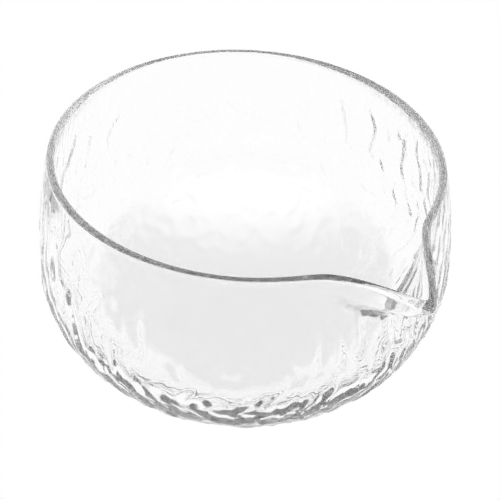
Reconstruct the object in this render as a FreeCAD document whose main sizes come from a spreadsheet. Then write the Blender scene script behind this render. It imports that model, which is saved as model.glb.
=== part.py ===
import FreeCAD, Part
import math
import os
import Sketcher
from FreeCAD import Vector

# A round-bellied glass pouring bowl with a V-shaped lip drawn out of its rim.
# Origin: centre of the flat base, on the surface it stands on. +Z is up and the lip points along +X.

os.makedirs("parts", exist_ok=True)
doc = FreeCAD.newDocument("PouringBowl")

# Driving dimensions, in mm and degrees.
SIZES = [
    ("Height", 80.0, "base to the level part of the rim"),
    ("RimRadius", 60.0, "outside of the rim, mean of its slight oval"),
    ("RimOval", 0.028, "share by which the rim is longer along the lip and narrower across it"),
    ("BellyRadius", 65.3, "outside of the widest ring"),
    ("BellyHeight", 42.0, "height of the widest ring"),
    ("FootRadius", 28.0, "flat base, before its edge is rounded"),
    ("FloorThickness", 5.0, "glass under the inside floor"),
    ("FloorRadius", 24.0, "flat part of the inside floor, before its edge is rounded"),
    ("BellyWall", 3.6, "glass at the widest ring"),
    ("RimWall", 2.3, "glass at the rim"),
    ("LipReach", 84.4, "axis to the point where the lip's two flanks would meet"),
    ("LipHalfAngle", 36.0, "each flank of the lip from the middle line"),
    ("LipNoseAngle", 0.8, "turn about the axis over which the lip's nose is rounded"),
    ("LipRootReach", 61.0, "the same meeting point where the lip leaves the wall"),
    ("LipRootHeight", 50.0, "height where the lip leaves the wall"),
    ("LipFullBelowRim", 3.0, "depth under the rim at which the lip has its full reach"),
    ("LipBlend", 1.7, "softness of the bend between wall and flank"),
    ("LipFadeRise", 20.0, "height over which the lip grows out of the wall"),
    ("LipFadeFrom", 35.0, "turn from the middle line where the lip starts to fade out"),
    ("LipFadeTo", 63.0, "turn from the middle line where only the round wall is left"),
    ("DipStart", 57.0, "distance along the lip where the rim line begins to drop"),
    ("DipRadius", 62.0, "radius of the drop, seen from the side"),
    ("RimEdge", 0.7, "rounding of the rim's two edges"),
    ("FootEdge", 30.0, "rounding where the wall rolls into the flat base"),
    ("FloorEdge", 40.0, "rounding where the wall rolls into the inside floor"),
    ("TrimReach", 100.0, "half length of the shape that trims the rim, longer than the bowl"),
    ("TrimHeight", 20.0, "height of that shape above the rim"),
]

sheet = doc.addObject("Spreadsheet::Sheet", "Sizes")
for row, (alias, value, meaning) in enumerate(SIZES, start=1):
    sheet.set("A%d" % row, alias)
    sheet.set("B%d" % row, str(value))
    sheet.setAlias("B%d" % row, alias)
    sheet.set("C%d" % row, meaning)
doc.recompute()


def size(alias):
    return float(sheet.get(alias))


# The shape of the glass, as formulas of height and of turn about the axis from the lip.
def clamp(value):
    return min(max(value, 0.0), 1.0)


def ease(value):
    """0 to 1 with level ends."""
    share = clamp(value)
    return share * share * (3.0 - 2.0 * share)


class Skin:
    """The outside or the inside of the glass: its radius at any height and turn."""

    def __init__(self, belly, rim, floorHeight, floorRadius, inset):
        self.belly = belly
        self.rim = rim
        self.floorHeight = floorHeight
        self.inset = inset
        # the lower half is an ellipse that reaches floorRadius at floorHeight
        self.drop = (size("BellyHeight") - floorHeight) / math.sqrt(1.0 - (floorRadius / belly) ** 2)

    def profile(self, height):
        rise = height - size("BellyHeight")
        if rise < 0.0:
            return self.belly * math.sqrt(max(1.0 - (rise / self.drop) ** 2, 0.0))
        share = rise / (size("Height") - size("BellyHeight"))
        return self.belly - (self.belly - self.rim) * share ** 2

    def radius(self, turn, height):
        rise = max(height - size("BellyHeight"), 0.0) / (size("Height") - size("BellyHeight"))
        wall = self.profile(height) * (1.0 + size("RimOval") * rise ** 2 * math.cos(2.0 * turn))
        if height <= size("LipRootHeight"):
            return wall
        lipTop = size("Height") - size("LipFullBelowRim")
        climb = clamp((height - size("LipRootHeight")) / (lipTop - size("LipRootHeight")))
        rootReach, reach = size("LipRootReach"), size("LipReach")
        apex = rootReach + (reach - rootReach) * (1.0 - math.cos(math.pi * climb)) / 2.0
        flankAngle = math.radians(size("LipHalfAngle"))
        bluntTurn = math.hypot(turn, math.radians(size("LipNoseAngle")))
        meeting = min(flankAngle + bluntTurn, math.pi / 2.0)
        flank = (apex * math.sin(flankAngle) - self.inset) / math.sin(meeting)
        blend = size("LipBlend")
        joined = (wall + flank + math.hypot(wall - flank, 2.0 * blend)) / 2.0
        grown = ease((height - size("LipRootHeight")) / size("LipFadeRise"))
        fadeFrom, fadeTo = math.radians(size("LipFadeFrom")), math.radians(size("LipFadeTo"))
        beside = ease((fadeTo - abs(turn)) / (fadeTo - fadeFrom))
        return wall + grown * beside * (joined - wall)


outside = Skin(size("BellyRadius"), size("RimRadius"), 0.0, size("FootRadius"), 0.0)
inside = Skin(size("BellyRadius") - size("BellyWall"), size("RimRadius") - size("RimWall"),
              size("FloorThickness"), size("FloorRadius"), size("RimWall"))

# Turns from the lip, in degrees, at which a ring is drawn: close together round the nose of the lip and
# wide at the back, where the ring starts and ends.
HALF_TURNS = [1.2, 2.4, 3.8, 5.5, 7.5, 10, 13, 16.5, 20, 25, 30, 36, 43, 51, 60, 72, 86, 102, 120, 140, 160]
TURNS = [-180.0] + [-turn for turn in reversed(HALF_TURNS)] + [0.0] + HALF_TURNS
LOWER_RINGS = 9
UPPER_RINGS = 14
ABOVE_RIM = 3.0  # the skins run on this far above the rim, to be trimmed to the rim line


def ring(skin, height):
    """A closed smooth curve round the bowl at one height."""
    points = []
    for turn in map(math.radians, TURNS):
        reach = skin.radius(turn, height)
        points.append(Vector(reach * math.cos(turn), reach * math.sin(turn), height))
    curve = Part.BSplineCurve()
    parameters = [turn / 360.0 + 0.5 for turn in TURNS] + [1.0]
    curve.interpolate(Points=points, PeriodicFlag=True, Parameters=parameters)
    return Part.Wire([curve.toShape()])


def ringHeights(skin):
    belly = size("BellyHeight")
    top = size("Height") + ABOVE_RIM
    lower = [belly - (belly - skin.floorHeight) * math.cos(math.pi / 2.0 * i / LOWER_RINGS)
             for i in range(LOWER_RINGS)]
    upper = [belly + (top - belly) * i / UPPER_RINGS for i in range(UPPER_RINGS + 1)]
    return lower + upper


def filledSkin(name, skin):
    """The solid inside a skin, lofted through its rings."""
    rings = []
    for number, height in enumerate(ringHeights(skin), start=1):
        section = doc.addObject("Part::Feature", "%sRing%02d" % (name, number))
        section.Shape = ring(skin, height)
        rings.append(section)
    solid = doc.addObject("Part::Loft", name)
    solid.Sections = rings
    solid.Solid = True
    solid.Ruled = False
    return solid


wall = doc.addObject("Part::Cut", "Wall")
wall.Base = filledSkin("Outside", outside)
wall.Tool = filledSkin("Inside", inside)
doc.recompute()

# The bowl itself: the hollow wall, trimmed to its rim line and with its edges rounded.
bowl = doc.addObject("PartDesign::Body", "GlassBowl")
bowl.Label = "glass_bowl"
bowl.BaseFeature = wall
bowl.Placement = FreeCAD.Placement(Vector(0, 0, 0), FreeCAD.Rotation())
doc.recompute()


def originPlane(body, role):
    for feature in body.Origin.OriginFeatures:
        if feature.Role == role:
            return feature
    raise ValueError(role)


# The rim line from the side: level, then dropping along an arc towards the nose of the lip.
# Everything above it is cut away.
rimLine = bowl.newObject("Sketcher::SketchObject", "RimLine")
rimLine.AttachmentSupport = (originPlane(bowl, "XZ_Plane"), [""])
rimLine.MapMode = "FlatFace"
level, top, reach = size("Height"), size("Height") + size("TrimHeight"), size("TrimReach")
arcCentre = Vector(size("DipStart"), level - size("DipRadius"), 0)
arcStartTurn = math.acos((reach - size("DipStart")) / size("DipRadius"))
arcStart = arcCentre + Vector(math.cos(arcStartTurn), math.sin(arcStartTurn), 0) * size("DipRadius")
RIM, DIP, FRONT, TOP, BACK = range(5)
START, END, ORIGIN = 1, 2, -1
rimLine.addGeometry([
    Part.LineSegment(Vector(-reach, level, 0), Vector(size("DipStart"), level, 0)),
    Part.ArcOfCircle(Part.Circle(arcCentre, Vector(0, 0, 1), size("DipRadius")), arcStartTurn, math.pi / 2.0),
    Part.LineSegment(arcStart, Vector(reach, top, 0)),
    Part.LineSegment(Vector(reach, top, 0), Vector(-reach, top, 0)),
    Part.LineSegment(Vector(-reach, top, 0), Vector(-reach, level, 0)),
], False)
rimLine.addConstraint([
    Sketcher.Constraint("Tangent", RIM, END, DIP, END),
    Sketcher.Constraint("Coincident", DIP, START, FRONT, START),
    Sketcher.Constraint("Coincident", FRONT, END, TOP, START),
    Sketcher.Constraint("Coincident", TOP, END, BACK, START),
    Sketcher.Constraint("Coincident", BACK, END, RIM, START),
    Sketcher.Constraint("Horizontal", RIM),
    Sketcher.Constraint("Vertical", FRONT),
    Sketcher.Constraint("Horizontal", TOP),
    Sketcher.Constraint("Vertical", BACK),
])
for constraint, formula in [
    (Sketcher.Constraint("DistanceY", ORIGIN, START, RIM, END, level), "Sizes.Height"),
    (Sketcher.Constraint("DistanceX", ORIGIN, START, RIM, END, size("DipStart")), "Sizes.DipStart"),
    (Sketcher.Constraint("Radius", DIP, size("DipRadius")), "Sizes.DipRadius"),
    (Sketcher.Constraint("DistanceX", ORIGIN, START, FRONT, START, reach), "Sizes.TrimReach"),
    (Sketcher.Constraint("DistanceX", RIM, START, ORIGIN, START, reach), "Sizes.TrimReach"),
    (Sketcher.Constraint("DistanceY", ORIGIN, START, TOP, END, top), "Sizes.Height + Sizes.TrimHeight"),
]:
    rimLine.setExpression("Constraints[%d]" % rimLine.addConstraint(constraint), formula)
doc.recompute()

rimCut = bowl.newObject("PartDesign::Pocket", "RimCut")
rimCut.Profile = rimLine
rimCut.Type = "ThroughAll"
rimCut.Midplane = True
doc.recompute()


def rounding(name, base, radiusCell, chosen):
    """A fillet on the edges of a feature that a test picks out."""
    edges = ["Edge%d" % number for number, edge in enumerate(base.Shape.Edges, start=1) if chosen(edge)]
    fillet = bowl.newObject("PartDesign::Fillet", name)
    fillet.Base = (base, edges)
    fillet.setExpression("Radius", "Sizes." + radiusCell)
    doc.recompute()
    return fillet


def onRim(edge):
    return edge.BoundBox.ZMin > size("BellyHeight") and edge.Curve.TypeId != "Part::GeomLine"


def roundTheBase(edge):
    return edge.BoundBox.ZMax < size("FloorThickness") / 2.0


def roundTheFloor(edge):
    box = edge.BoundBox
    return size("FloorThickness") * 0.5 < box.ZMin and box.ZMax < size("FloorThickness") * 1.5


foot = rounding("FootEdge", rimCut, "FootEdge", roundTheBase)
floor = rounding("FloorEdge", foot, "FloorEdge", roundTheFloor)
rim = rounding("RimEdges", floor, "RimEdge", onRim)
bowl.Tip = rim
doc.recompute()

# Nothing is written unless every step worked.
for item in doc.Objects:
    if "Invalid" in item.State or "Error" in item.State:
        raise RuntimeError("%s failed: %s" % (item.Name, item.State))
if bowl.Shape.isNull() or not bowl.Shape.isValid() or len(bowl.Shape.Solids) != 1:
    raise RuntimeError("%s is not one sound solid" % bowl.Label)
bowl.Shape.exportStep("parts/%s.step" % bowl.Label)
box = bowl.Shape.optimalBoundingBox(False, False)
print("%s: %.1f x %.1f x %.1f mm, %.1f cm3 of glass"
      % (bowl.Label, box.XLength, box.YLength, box.ZLength, bowl.Shape.Volume / 1000.0))
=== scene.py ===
import math

import bpy
import numpy as np
from mathutils import Matrix, Vector


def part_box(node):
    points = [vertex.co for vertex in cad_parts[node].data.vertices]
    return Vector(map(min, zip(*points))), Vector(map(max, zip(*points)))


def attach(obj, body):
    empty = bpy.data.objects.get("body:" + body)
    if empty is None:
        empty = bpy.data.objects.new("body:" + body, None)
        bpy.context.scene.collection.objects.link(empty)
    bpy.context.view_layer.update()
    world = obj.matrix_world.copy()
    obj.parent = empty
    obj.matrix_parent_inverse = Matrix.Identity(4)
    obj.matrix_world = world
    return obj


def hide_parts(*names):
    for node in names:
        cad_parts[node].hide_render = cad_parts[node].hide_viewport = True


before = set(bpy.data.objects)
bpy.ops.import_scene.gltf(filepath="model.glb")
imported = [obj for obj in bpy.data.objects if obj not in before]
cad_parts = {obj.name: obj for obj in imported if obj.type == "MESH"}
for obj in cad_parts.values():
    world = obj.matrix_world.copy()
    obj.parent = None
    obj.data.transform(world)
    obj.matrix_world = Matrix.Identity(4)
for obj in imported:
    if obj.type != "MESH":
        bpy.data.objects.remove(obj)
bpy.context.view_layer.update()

cadLow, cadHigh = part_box("glass_bowl")
mm = 0.001
scene = bpy.context.scene
scene.view_settings.view_transform = "Standard"     # keeps the white floor plain white
scene.view_settings.gamma = 0.5                     # a crisp print: deep greys in clear glass
print("frame loaded")


def hexToLinear(code):
    channels = [int(code[i:i + 2], 16) / 255 for i in (1, 3, 5)]
    return [c / 12.92 if c <= 0.04045 else ((c + 0.055) / 1.055) ** 2.4 for c in channels] + [1.0]


def addNode(tree, kind, settings=None, **links):
    node = tree.nodes.new(kind)
    for name, value in (settings or {}).items():
        if name in node.inputs:
            node.inputs[name].default_value = value
        else:
            setattr(node, name, value)
    for name, source in links.items():
        tree.links.new(source, node.inputs[name.replace("_", " ")])
    return node


def ease(share):
    # 0 to 1 with level ends
    share = np.clip(share, 0.0, 1.0)
    return share * share * (3.0 - 2.0 * share)


# The bowl. All lengths in mm, heights from the table, turns in degrees from the lip.
bowl = {
    "height": cadHigh[2] / mm,
    "rimRadius": 60.0, "rimOval": 0.028,            # the rim is a little longer along the lip
    "bellyRadius": cadHigh[1] / mm, "bellyHeight": 42.0, "footRadius": 28.0,
    "floorThickness": 5.0, "floorRadius": 24.0, "bellyWall": 3.6, "rimWall": 2.3,
    "roll": 1.5,                                    # the wall rolls into base or floor over this height
    "lipReach": 84.4, "lipHalfAngle": 36.0, "lipNoseAngle": 0.8,
    "lipRootReach": 61.0, "lipRootHeight": 50.0, "lipFullBelowRim": 3.0,
    "lipBlend": 1.7, "lipFadeRise": 20.0, "lipFadeFrom": 35.0, "lipFadeTo": 63.0,
    "dipStart": 57.0, "dipRadius": 62.0,            # the rim line drops along this arc to the nose
    "rimRound": 1.4, "rimSquare": 0.8,              # height and squareness of the fire-polished edge
    "rimSlant": 0.7,                                # its outer side hangs this much lower
    "columns": 480, "crowding": 0.45,               # 0 spaces them evenly, more draws them to the lip
    "outerRows": 118, "rimRows": 14, "innerRows": 58, "discRings": 8,
    "lowerShare": 0.55,                             # how many of a wall's rows lie below the widest ring
}


def skin(belly, rim, floorHeight, floorRadius, inset):
    # gives the outside or the inside of the wall as a radius for any turn and height
    b = bowl
    upper = b["height"] - b["bellyHeight"]
    drop = (b["bellyHeight"] - floorHeight) / math.sqrt(1.0 - (floorRadius / belly) ** 2)
    flankAngle = math.radians(b["lipHalfAngle"])
    fadeFrom, fadeTo = math.radians(b["lipFadeFrom"]), math.radians(b["lipFadeTo"])
    lipTop = b["height"] - b["lipFullBelowRim"]
    lipGrowth = b["lipReach"] - b["lipRootReach"]

    def radius(turn, height):
        rise = (height - b["bellyHeight"]) / upper
        lift = np.maximum(height - floorHeight, 0.0)
        rolled = np.where(lift < b["roll"], 2.0 * np.sqrt(b["roll"] * lift) - b["roll"], lift)
        below = np.clip((b["bellyHeight"] - floorHeight - rolled) / drop, 0.0, 1.0)
        # an ellipse up to the widest ring, a parabola from there to the rim
        wall = np.where(rise < 0.0, belly * np.sqrt(1.0 - below ** 2), belly - (belly - rim) * rise ** 2)
        wall = wall * (1.0 + b["rimOval"] * np.clip(rise, 0.0, None) ** 2 * np.cos(2.0 * turn))
        # the lip: two flat flanks that meet at an apex, joined softly to the round wall
        climb = np.clip((height - b["lipRootHeight"]) / (lipTop - b["lipRootHeight"]), 0.0, 1.0)
        apex = b["lipRootReach"] + lipGrowth * (1.0 - np.cos(math.pi * climb)) / 2.0
        bluntTurn = np.hypot(turn, math.radians(b["lipNoseAngle"]))
        flankTurn = np.minimum(flankAngle + bluntTurn, math.pi / 2.0)
        flank = (apex * math.sin(flankAngle) - inset) / np.sin(flankTurn)
        joined = (wall + flank + np.hypot(wall - flank, 2.0 * b["lipBlend"])) / 2.0
        grown = ease((height - b["lipRootHeight"]) / b["lipFadeRise"])
        beside = ease((fadeTo - np.abs(turn)) / (fadeTo - fadeFrom))
        return wall + grown * beside * (joined - wall)

    return radius


outside = skin(bowl["bellyRadius"], bowl["rimRadius"], 0.0, bowl["footRadius"], 0.0)
inside = skin(bowl["bellyRadius"] - bowl["bellyWall"], bowl["rimRadius"] - bowl["rimWall"],
              bowl["floorThickness"], bowl["floorRadius"], bowl["rimWall"])


def rimAt(skinRadius, turns):
    heights = np.full_like(turns, bowl["height"])
    for _ in range(12):     # settles where the skin meets the dropping rim line
        reach = skinRadius(turns, heights) * np.cos(turns)
        past = np.clip(reach - bowl["dipStart"], 0.0, bowl["dipRadius"])
        heights = bowl["height"] - (bowl["dipRadius"] - np.sqrt(bowl["dipRadius"] ** 2 - past ** 2))
    return heights


# The hammered outside: rows of shallow hollows, short near the foot and drawn long up the belly.
hammer = {
    "footWidth": 4.2, "bellyWidth": 6.5,      # across one hollow
    "footLength": 5.0, "bellyLength": 20.0,   # up one hollow
    "growth": 1.25, "growthCurve": 1.3,       # full size is reached at 1 / growth of the way up
    "footDepth": 0.25, "bellyDepth": 0.65,    # ridge to bottom
    "edge": 0.16, "edgeGain": 9.0,            # where a hollow turns up into its ridge, and how sharply
    "fadeFrom": 60.0, "fadeTo": 74.0,         # the hollows die out between these heights
    "fadeFoot": 14.0,                         # and below this height, towards the smooth base
    "ridge": 14.0,                            # how crisp the ridges between hollows are
    "scatter": 0.36,                          # how far a hollow sits off its place, in hollows
    "deeper": 0.16,                           # how much harder some hollows press than others
    "fewest": 6,                              # hollows in a row
    # the rows wander up and down, in slow waves round the bowl
    "wander": 0.8, "wanderWaves": (3, 5, 8, 13),
    "waveSize": (0.2, 0.6), "waveStart": (0.0, 6.3), "waveSlant": (0.5, 1.2),
    # the files of hollows sway from side to side: radians, turn per row, whole waves round the bowl
    "sways": ((0.03, 2.1, 3), (0.012, 5.3, 11)),
    "seed": 7,
}


def wallLadder():
    # height, radius and distance up the outside from the base, at the back where there is no lip
    lowerSteps, upperSteps = 400, 100
    share = 1.0 - np.cos(np.linspace(0.0, math.pi / 2.0, lowerSteps))
    upper = np.linspace(bowl["bellyHeight"], bowl["height"], upperSteps)
    heights = np.concatenate([bowl["bellyHeight"] * share, upper[1:]])
    radii = outside(np.full_like(heights, math.pi), heights)
    climbed = np.concatenate([[0.0], np.cumsum(np.hypot(np.diff(radii), np.diff(heights)))])
    return heights, radii, climbed


def hammered(turns, heights):
    # how far the surface lies below the smooth skin, in mm: 0 on a ridge, negative in a hollow
    k = hammer
    ladder, radii, climbed = wallLadder()
    blend = np.clip(climbed / climbed[-1] * k["growth"], 0.0, 1.0) ** k["growthCurve"]
    length = k["footLength"] * (k["bellyLength"] / k["footLength"]) ** blend
    width = k["footWidth"] + (k["bellyWidth"] - k["footWidth"]) * blend
    steps = np.diff(climbed) * (1.0 / length[1:] + 1.0 / length[:-1]) / 2.0
    rowOf = np.concatenate([[0.0], np.cumsum(steps)])       # which row of hollows, as a number
    rng = np.random.default_rng(k["seed"])
    rows = np.interp(heights, ladder, rowOf)
    drift = np.zeros_like(rows)
    for waves in k["wanderWaves"]:
        size = rng.uniform(*k["waveSize"]) / waves
        start = rng.uniform(*k["waveStart"])
        slant = rng.uniform(*k["waveSlant"])
        drift = drift + size * np.sin(waves * turns + start + rows * slant)
    rows = rows + drift * k["wander"]
    bent = turns
    for sway, turnPerRow, waves in k["sways"]:
        bent = bent + sway * np.sin(rows * turnPerRow + waves * turns)
    near = np.zeros(rows.shape)
    floorRow = np.floor(rows).astype(int)
    spare = 3                                               # rows beyond both ends, for the wander
    for row in range(-spare, int(rowOf[-1]) + spare + 1):
        middle = np.clip(row + 0.5, 0.0, rowOf[-1])
        around = 2.0 * math.pi * np.interp(middle, rowOf, radii)
        count = max(int(round(around / np.interp(middle, rowOf, width))), k["fewest"])
        shiftAcross = rng.uniform(-k["scatter"], k["scatter"], count)
        shiftUp = rng.uniform(-k["scatter"], k["scatter"], count)
        extra = rng.uniform(0.0, k["deeper"], count)
        offset = rng.uniform(0.0, 1.0)
        here = np.nonzero(np.abs(floorRow - row) <= 1)
        if not len(here[0]):
            continue
        across = (bent[here] / (2.0 * math.pi) % 1.0) * count - offset
        cell = np.floor(across).astype(int)
        for neighbour in (-1, 0, 1):
            which = (cell + neighbour) % count
            dx = across - (cell + neighbour + 0.5 + shiftAcross[which])
            dy = rows[here] - (row + 0.5 + shiftUp[which])
            near[here] += np.exp(-k["ridge"] * (dx * dx + dy * dy - extra[which]))
    tiny = 1e-9                                             # keeps the logarithm off zero
    far = -np.log(near + tiny) / k["ridge"]
    hollow = (np.tanh((far - k["edge"]) * k["edgeGain"]) - 1.0) / 2.0
    up = np.clip(heights / bowl["bellyHeight"], 0, 1)
    depth = k["footDepth"] + (k["bellyDepth"] - k["footDepth"]) * up
    fade = 1.0 - ease((heights - k["fadeFrom"]) / (k["fadeTo"] - k["fadeFrom"]))
    return depth * fade * ease(heights / k["fadeFoot"]) * hollow


def columnTurns():
    share = np.arange(bowl["columns"]) / bowl["columns"] * 2.0 - 1.0
    crowding = bowl["crowding"]
    return math.pi * ((1.0 - crowding) * share + crowding * share ** 3)


def wallHeights(steps, bottom, top):
    # heights for one side of the wall: closer together near the bottom, even above the belly
    belly, split = bowl["bellyHeight"], bowl["lowerShare"]
    rows = []
    for step in np.linspace(0.0, 1.0, steps):
        if step <= split:
            climbed = 1.0 - math.cos(step / split * math.pi / 2.0)
            rows.append(np.full_like(top, bottom + (belly - bottom) * climbed))
        else:
            rows.append(belly + (top - belly) * (step - split) / (1.0 - split))
    return rows


def rimLift(across):
    # height of the fire-polished edge above both walls, from the outer wall (0) to the inner (pi)
    slanted = 0.5 * (1 + np.cos(across)) * bowl["rimSlant"] * np.sin(across)
    return bowl["rimRound"] * np.sin(across) ** bowl["rimSquare"] - slanted


def buildBowl():
    b = bowl
    turns = columnTurns()
    level = np.ones_like(turns)

    def ringAt(radii, heights):
        return np.stack([radii * np.cos(turns), radii * np.sin(turns), heights], -1)

    # from the middle of the base out and up the outside, over the rim, and down the inside to the floor
    baseEdge, floorEdge = outside(turns, level * 0.0), inside(turns, level * b["floorThickness"])
    rows = [ringAt(baseEdge * share, level * 0.0)
            for share in np.linspace(0.0, 1.0, b["discRings"] + 1)[1:-1]]
    rimOut, rimIn = rimAt(outside, turns), rimAt(inside, turns)
    nudge = 0.05            # mm up and down, to find the slope of the wall
    for height in wallHeights(b["outerRows"], 0.0, rimOut - b["rimRound"]):
        under = np.maximum(height - nudge, 0.0)
        slope = (outside(turns, height + nudge) - outside(turns, under)) / (height + nudge - under)
        normal = 1.0 / np.hypot(1.0, slope)
        press = hammered(turns, height)
        rows.append(ringAt(outside(turns, height) + press * normal, height - press * slope * normal))
    outTop = rows[-1]
    inner = [ringAt(inside(turns, height), height)
             for height in wallHeights(b["innerRows"], b["floorThickness"], rimIn - b["rimRound"])]
    across = inner[-1] - outTop
    fineSteps = 200
    crest = np.max(rimLift(np.linspace(0.0, math.pi, fineSteps)))
    rimGain = b["rimRound"] / crest     # so the slanted edge still reaches the rim line
    for step in np.linspace(0.0, math.pi, b["rimRows"] + 2)[1:-1]:
        side = math.cos(step)
        edge = outTop + across * (0.5 - 0.5 * math.copysign(abs(side) ** b["rimSquare"], side))
        edge[:, 2] += rimLift(step) * rimGain
        rows.append(edge)
    rows.extend(inner[::-1])
    rows.extend(ringAt(floorEdge * share, level * b["floorThickness"])
                for share in np.linspace(1.0, 0.0, b["discRings"] + 1)[1:-1])
    grid = np.array(rows)
    rowCount, columns = grid.shape[:2]
    middles = [[0, 0, 0], [0, 0, b["floorThickness"]]]
    corners = np.vstack([grid.reshape(-1, 3), middles]) * mm
    i, j = np.meshgrid(np.arange(rowCount - 1), np.arange(columns), indexing="ij")
    beside = (j + 1) % columns
    quads = np.stack([i * columns + j, i * columns + beside,
                      (i + 1) * columns + beside, (i + 1) * columns + j], -1).reshape(-1, 4)
    faces = quads.tolist()
    baseMiddle, floorMiddle = rowCount * columns, rowCount * columns + 1
    lastRow = (rowCount - 1) * columns
    for column in range(columns):
        after = (column + 1) % columns
        faces.append([baseMiddle, after, column])
        faces.append([floorMiddle, lastRow + column, lastRow + after])
    mesh = bpy.data.meshes.new("glass_bowl_hammered")
    mesh.from_pydata(corners.tolist(), [], faces)
    mesh.update()
    mesh.shade_smooth()
    piece = bpy.data.objects.new("glass_bowl_hammered", mesh)
    scene.collection.objects.link(piece)
    return piece


# Soda-lime glass, blown into a hammered iron mould and fire-polished: clear, mirror smooth and almost
# colourless, with a breath of grey where it is thick, and faint cords left by the melt.
sodaGlass = {
    "thin": "#FEFEFE", "thick": "#FCFCFC",    # the wall near the rim, and the base
    "thinFrom": 30.0,                         # mm above the table where the thin tint is reached
    "ior": 1.52,
    "polished": 0.0, "scuffed": 0.06,         # roughness: fire-polished wall, and the base it slides on
    "scuffHeight": 0.3,                       # mm: the scuffs reach no higher
    "cordWidth": 14.0, "cordStretch": 5.0,    # mm across a cord, and how much longer it runs up the wall
    "cordDepth": 0.004, "cordDetail": 1.5,    # mm, and how many finer layers it holds
}


def sodaLimeGlass():
    k = sodaGlass
    material = bpy.data.materials.new("soda-lime glass, mould-blown and fire-polished")
    material.use_nodes = True
    tree = material.node_tree
    shader = tree.nodes["Principled BSDF"]
    shader.inputs["Transmission Weight"].default_value = 1.0
    shader.inputs["IOR"].default_value = k["ior"]
    where = addNode(tree, "ShaderNodeTexCoord")
    split = addNode(tree, "ShaderNodeSeparateXYZ", Vector=where.outputs["Object"])
    up = addNode(tree, "ShaderNodeMapRange", {"From Min": 0.0, "From Max": k["thinFrom"] * mm},
                 Value=split.outputs["Z"])
    tint = addNode(tree, "ShaderNodeMix", {"data_type": "RGBA"}, Factor=up.outputs["Result"])
    tint.inputs[6].default_value = hexToLinear(k["thick"])      # 6, 7 and output 2 carry colour
    tint.inputs[7].default_value = hexToLinear(k["thin"])
    tree.links.new(tint.outputs[2], shader.inputs["Base Color"])
    # cords: slow streaks drawn up the wall
    lanes = addNode(tree, "ShaderNodeMapping", {"Scale": (1.0, 1.0, 1.0 / k["cordStretch"])},
                    Vector=where.outputs["Object"])
    cords = addNode(tree, "ShaderNodeTexNoise",
                    {"Scale": 1.0 / (k["cordWidth"] * mm), "Detail": k["cordDetail"]},
                    Vector=lanes.outputs["Vector"])
    waves = addNode(tree, "ShaderNodeBump", {"Distance": k["cordDepth"] * mm, "Strength": 1.0},
                    Height=cords.outputs["Fac"])
    tree.links.new(waves.outputs["Normal"], shader.inputs["Normal"])
    # the base is lightly scuffed from standing on tables
    band = addNode(tree, "ShaderNodeMapRange",
                   {"From Min": 0.0, "From Max": k["scuffHeight"] * mm,
                    "To Min": k["scuffed"], "To Max": k["polished"]},
                   Value=split.outputs["Z"])
    tree.links.new(band.outputs["Result"], shader.inputs["Roughness"])
    return material


glass = sodaLimeGlass()
print("glass mixed")

piece = buildBowl()
piece.data.materials.append(glass)
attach(piece, "root")
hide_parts("glass_bowl")
print("bowl built,", len(piece.data.polygons), "faces")

# Studio: a floor that glows evenly, and a soft room. The room is white along the horizon, and above that
# bright on the camera's side, dark overhead and to the sides, and dim behind the bowl.
studio = {
    "floorWidth": 20.0, "floorDrop": 0.0002,      # m
    "floorColour": "#FFFFFF",
    "horizon": 1.0,
    "horizonFrom": 0.22, "horizonTo": 0.34,       # where its white ends: sines of the angle above level
    "front": 1.6, "frontSide": 1.2, "side": 0.2, "backSide": 0.1, "back": 0.4,
    # where those five stand: 0 is straight behind the bowl, 1 straight behind the camera
    "places": {"back": 0.0, "backSide": 0.2, "side": 0.5, "frontSide": 0.8, "front": 1.0},
    "bounces": 48,                                # light runs far inside a rim before it leaves
}
shot = {
    "azimuth": 52.3, "elevation": 34.56,          # degrees round the bowl, and above the table
    "distance": 360.0,                            # mm from the middle of the rim
    "lens": 85.6, "sensor": 36.0,                 # mm
    "down": 4.83, "right": 0.265, "roll": 0.5,    # degrees turned off the middle of the rim
}
azimuth, elevation = math.radians(shot["azimuth"]), math.radians(shot["elevation"])


def grey(value):
    return (value, value, value, 1.0)


bpy.ops.mesh.primitive_plane_add(size=studio["floorWidth"], location=(0, 0, -studio["floorDrop"]))
floor = bpy.context.object
floor.name = "floor"
# White paper, rolled out in one sweep: an even ground with no shadow, so only the glass draws lines.
paper = bpy.data.materials.new("white paper sweep")
paper.use_nodes = True
paperTree = paper.node_tree
paperTree.nodes.clear()
glow = addNode(paperTree, "ShaderNodeEmission", {"Strength": 1.0})
glow.inputs["Color"].default_value = hexToLinear(studio["floorColour"])
addNode(paperTree, "ShaderNodeOutputMaterial", Surface=glow.outputs["Emission"])
floor.data.materials.append(paper)

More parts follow.
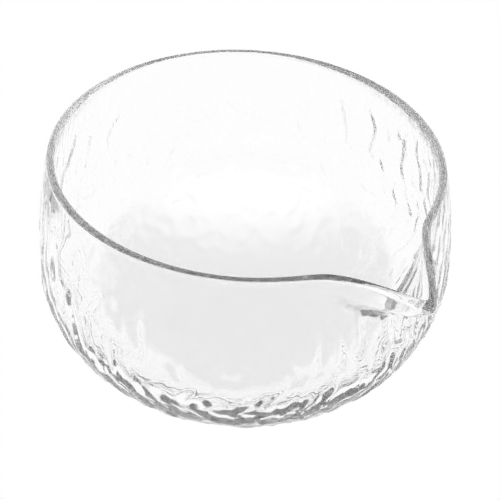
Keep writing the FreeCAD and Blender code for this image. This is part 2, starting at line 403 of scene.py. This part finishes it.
room = bpy.data.worlds.new("studio room")
scene.world = room
room.use_nodes = True
roomTree = room.node_tree
roomTree.nodes.clear()
direction = addNode(roomTree, "ShaderNodeTexCoord")
towards = addNode(roomTree, "ShaderNodeVectorMath", {"operation": "DOT_PRODUCT"})
roomTree.links.new(direction.outputs["Generated"], towards.inputs[0])
towards.inputs[1].default_value = (math.sin(azimuth), -math.cos(azimuth), 0.0)     # level, to the camera
half = addNode(roomTree, "ShaderNodeMapRange", {"From Min": -1.0, "From Max": 1.0},
               Value=towards.outputs["Value"])
panels = addNode(roomTree, "ShaderNodeValToRGB", Fac=half.outputs["Result"])
ramp = panels.color_ramp
ramp.interpolation = "EASE"
while len(ramp.elements) < len(studio["places"]):
    ramp.elements.new(0.5)
for element, (name, place) in zip(ramp.elements, studio["places"].items()):
    element.position = place
    element.color = grey(studio[name])
climb = addNode(roomTree, "ShaderNodeSeparateXYZ", Vector=direction.outputs["Generated"])
share = addNode(roomTree, "ShaderNodeMapRange",
                {"interpolation_type": "SMOOTHSTEP",
                 "From Min": studio["horizonFrom"], "From Max": studio["horizonTo"]},
                Value=climb.outputs["Z"])
blend = addNode(roomTree, "ShaderNodeMix", {"data_type": "RGBA"}, Factor=share.outputs["Result"])
blend.inputs[6].default_value = grey(studio["horizon"])
roomTree.links.new(panels.outputs["Color"], blend.inputs[7])
sky = addNode(roomTree, "ShaderNodeBackground", {"Strength": 1.0}, Color=blend.outputs[2])
addNode(roomTree, "ShaderNodeOutputWorld", Surface=sky.outputs["Background"])

scene.cycles.max_bounces = studio["bounces"]
scene.cycles.transmission_bounces = studio["bounces"]
scene.cycles.glossy_bounces = studio["bounces"]
print("studio lit")

camera = bpy.data.objects.new("camera", bpy.data.cameras.new("camera"))
scene.collection.objects.link(camera)
scene.camera = camera
camera.data.lens = shot["lens"]
camera.data.sensor_width = shot["sensor"]
level = math.cos(elevation)
back = Vector((math.sin(azimuth) * level, -math.cos(azimuth) * level, math.sin(elevation)))
right = Vector((math.cos(azimuth), math.sin(azimuth), 0.0))
aim = Matrix((right, back.cross(right), back)).transposed()
turnDown = Matrix.Rotation(-math.radians(shot["down"]), 3, "X")
turnRight = Matrix.Rotation(-math.radians(shot["right"]), 3, "Y")
roll = Matrix.Rotation(math.radians(shot["roll"]), 3, "Z")
stand = Vector((0.0, 0.0, bowl["height"] * mm)) + back * shot["distance"] * mm
camera.matrix_world = Matrix.Translation(stand) @ (aim @ turnDown @ turnRight @ roll).to_4x4()
print("camera placed")
